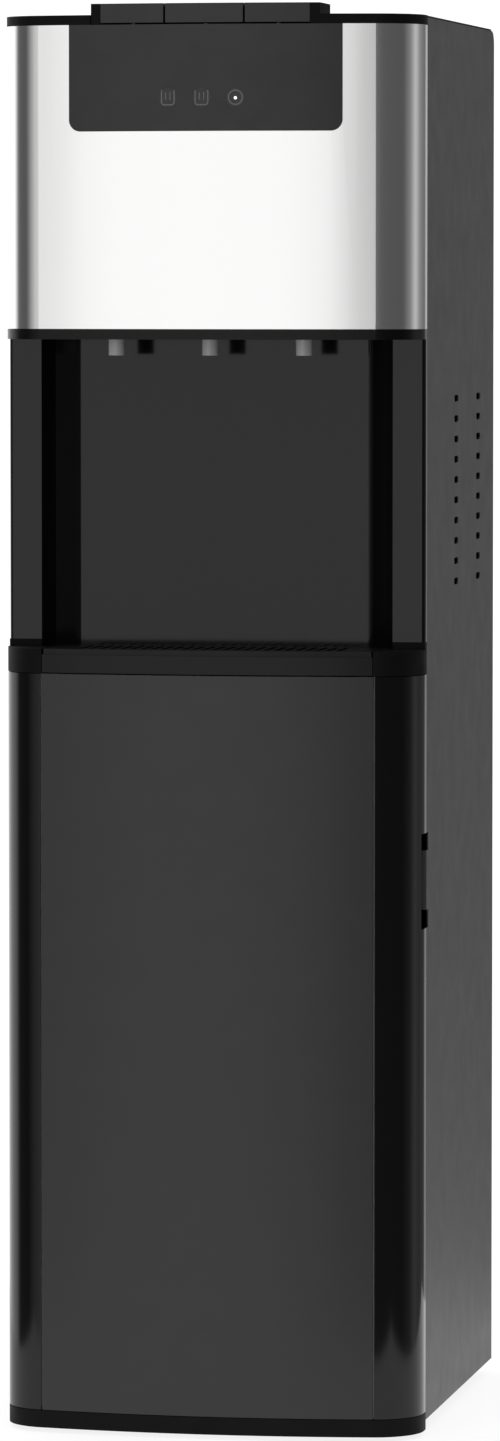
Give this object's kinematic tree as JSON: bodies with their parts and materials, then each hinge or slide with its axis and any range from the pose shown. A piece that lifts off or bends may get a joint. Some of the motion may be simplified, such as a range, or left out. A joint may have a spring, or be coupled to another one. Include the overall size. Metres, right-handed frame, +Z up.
{
  "type": "water dispenser",
  "caption": "Floor-standing, bottom-loading hot and cold water dispenser with a hinged bottle door, drip tray, push buttons and rear switches.",
  "frame": {"origin": "on the floor under the middle of the dispenser", "axes": "+Z up, +X to the right seen from the front, -Y to the front"},
  "size_m": [0.305, 0.3605, 1.0285],
  "materials": {
    "body_black": "satin moulded ABS",
    "gloss_black": "polished moulded ABS",
    "panel_paint": "fine-textured dark grey powder coat",
    "door_sheet": "satin black coated steel",
    "stainless": "vertical brushed finish",
    "bezel_black": "satin",
    "lens": "clear light guide",
    "circuit_green": "solder mask",
    "inner_grey": "moulded",
    "galvanised": "galvanised sheet",
    "nozzle_grey": "moulded",
    "tank_steel": "drawn stainless",
    "foam_white": "expanded foam",
    "copper": "drawn copper",
    "compressor_black": "enamel",
    "rubber_black": "moulded",
    "silicone": "translucent hose",
    "screw_steel": "zinc plated",
    "spring_steel": "spring wire",
    "rocker_green": "moulded",
    "rocker_red": "moulded",
    "valve_white": "moulded nylon",
    "condenser_black": "enamel"
  },
  "bodies": {
    "cabinet": {"alcove_liner": "gloss_black", "base_plinth": "body_black", "button_housing": "body_black", "button_switches": "body_black", "cold_button_spring": "spring_steel", "cold_tank": "tank_steel", "compressor": "compressor_black", "condenser": "condenser_black", "control_bezel": "bezel_black", "control_board": "circuit_green", "cord_gland": "rubber_black", "dispensing_nozzles": "nozzle_grey", "drain_fitting": "valve_white", "evaporator_coil": "copper", "feet": "rubber_black", "filter_drier": "copper", "head_trim": "gloss_black", "heater_band": "tank_steel", "hinge_pins": "screw_steel", "hot_button_spring": "spring_steel", "hot_tank": "tank_steel", "indicator_lenses": "lens", "left_side_panel": "panel_paint", "mid_deck": "galvanised", "probe_clip": "inner_grey", "probe_hose": "silicone", "pump": "body_black", "rear_panel": "panel_paint", "refrigerant_pipes": "copper", "right_side_panel": "panel_paint", "room_button_spring": "spring_steel", "screws": "screw_steel", "solenoid_valves": "valve_white", "switch_bodies": "body_black", "tank_insulation": "foam_white", "tank_shelf": "galvanised", "thermostats": "tank_steel", "top_cover": "body_black", "upper_front_panel": "stainless", "waist_frame": "body_black", "water_hoses": "silicone"},
    "door": {"door_panel": "door_sheet", "door_corner_trims": "gloss_black", "door_liner": "inner_grey", "door_grip": "body_black", "door_magnets": "rubber_black"},
    "tray": {"drip_tray": "gloss_black"},
    "grille": {"drip_grille": "body_black"},
    "cold_button": {"cold_button": "bezel_black"},
    "room_button": {"room_button": "bezel_black"},
    "hot_button": {"hot_button": "bezel_black"},
    "cold_plunger": {"cold_switch_plunger": "body_black"},
    "room_plunger": {"room_switch_plunger": "body_black"},
    "hot_plunger": {"hot_switch_plunger": "body_black"},
    "child_lock": {"child_lock_slider": "rocker_red"},
    "probe": {"bottle_probe": "inner_grey"},
    "cold_rocker": {"cold_rocker": "rocker_green"},
    "hot_rocker": {"hot_rocker": "rocker_red"},
    "drain_cap": {"drain_cap": "body_black"}
  },
  "joints": [
    {"name": "door_hinge", "type": "hinge", "parent": "cabinet", "child": "door", "pos_m": [-0.143, -0.138, 0.283], "axis": [0, 0, -1], "range_deg": [0, 105]},
    {"name": "tray_slide", "type": "slide", "parent": "cabinet", "child": "tray", "axis": [0, -1, 0], "range_m": [0, 0.09]},
    {"name": "grille_lift", "type": "slide", "parent": "tray", "child": "grille", "axis": [0, 0, 1], "range_m": [0, 0.03]},
    {"name": "cold_button_press", "type": "hinge", "parent": "cabinet", "child": "cold_button", "pos_m": [-0.0527, -0.139, 1.0165], "axis": [1, 0, 0], "range_deg": [0, 1.4], "stiffness_Nm_per_rad": 0.9, "springref_deg": -1.72, "deforming": ["cold_button_spring"]},
    {"name": "cold_plunger_slide", "type": "slide", "parent": "cabinet", "child": "cold_plunger", "axis": [0, 0, -1], "range_m": [0, 0.0006]},
    {"name": "room_button_press", "type": "hinge", "parent": "cabinet", "child": "room_button", "pos_m": [0, -0.139, 1.0165], "axis": [1, 0, 0], "range_deg": [0, 1.4], "stiffness_Nm_per_rad": 0.9, "springref_deg": -1.72, "deforming": ["room_button_spring"]},
    {"name": "room_plunger_slide", "type": "slide", "parent": "cabinet", "child": "room_plunger", "axis": [0, 0, -1], "range_m": [0, 0.0006]},
    {"name": "hot_button_press", "type": "hinge", "parent": "cabinet", "child": "hot_button", "pos_m": [0.0527, -0.139, 1.0165], "axis": [1, 0, 0], "range_deg": [0, 1.4], "stiffness_Nm_per_rad": 0.9, "springref_deg": -1.72, "deforming": ["hot_button_spring"]},
    {"name": "hot_plunger_slide", "type": "slide", "parent": "cabinet", "child": "hot_plunger", "axis": [0, 0, -1], "range_m": [0, 0.0006]},
    {"name": "child_lock_slide", "type": "slide", "parent": "hot_button", "child": "child_lock", "axis": [0, 1, 0], "range_m": [0, 0.008]},
    {"name": "probe_lift", "type": "slide", "parent": "cabinet", "child": "probe", "axis": [0, 0, 1], "range_m": [0, 0.02], "deforming": ["probe_hose"]},
    {"name": "cold_rocker_tilt", "type": "hinge", "parent": "cabinet", "child": "cold_rocker", "pos_m": [-0.1145, 0.149, 0.8622], "axis": [-1, 0, 0], "range_deg": [0, 16]},
    {"name": "hot_rocker_tilt", "type": "hinge", "parent": "cabinet", "child": "hot_rocker", "pos_m": [-0.0825, 0.149, 0.8622], "axis": [-1, 0, 0], "range_deg": [0, 16]},
    {"name": "drain_cap_slide", "type": "slide", "parent": "cabinet", "child": "drain_cap", "axis": [0, 1, 0], "range_m": [0, 0.02]}
  ],
  "couplings": [
    {"joint": "cold_plunger_slide", "follows": "cold_button_press", "m_per_rad": 0.0185},
    {"joint": "room_plunger_slide", "follows": "room_button_press", "m_per_rad": 0.0185},
    {"joint": "hot_plunger_slide", "follows": "hot_button_press", "m_per_rad": 0.0185}
  ]
}
